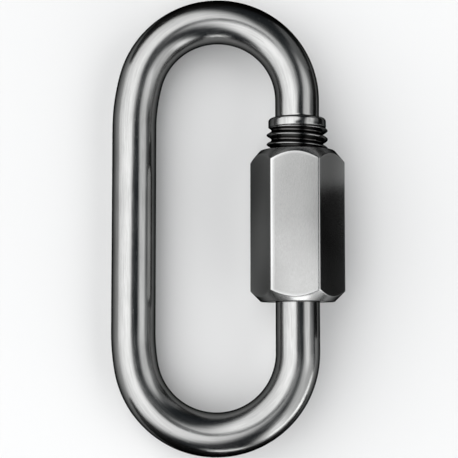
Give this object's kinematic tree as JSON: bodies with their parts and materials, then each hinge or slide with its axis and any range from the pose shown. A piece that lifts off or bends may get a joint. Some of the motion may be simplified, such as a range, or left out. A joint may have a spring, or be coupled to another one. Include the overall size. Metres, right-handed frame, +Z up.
{
  "type": "chain quick link",
  "caption": "Steel chain quick link: a round rod bent into a long oval, its threaded gap closed by a hexagonal sleeve nut.",
  "frame": {"origin": "on the ground, under the centre of the box of the link as it lies", "axes": "+Z up, +Y along the oval towards the collar end of the rod, +X towards the sleeve nut"},
  "size_m": [0.0418, 0.083, 0.0165],
  "materials": {
    "rod_steel": "polished bright, with faint drawing lines along the rod",
    "nut_steel": "satin polished flats with bright rounded corners"
  },
  "bodies": {
    "link": {"link_rod": "rod_steel"},
    "nut": {"sleeve_nut": "nut_steel"}
  },
  "joints": [
    {"name": "nut_travel", "type": "slide", "parent": "link", "child": "nut", "axis": [0, 1, 0], "range_m": [-0.0136, 0.00425]}
  ]
}
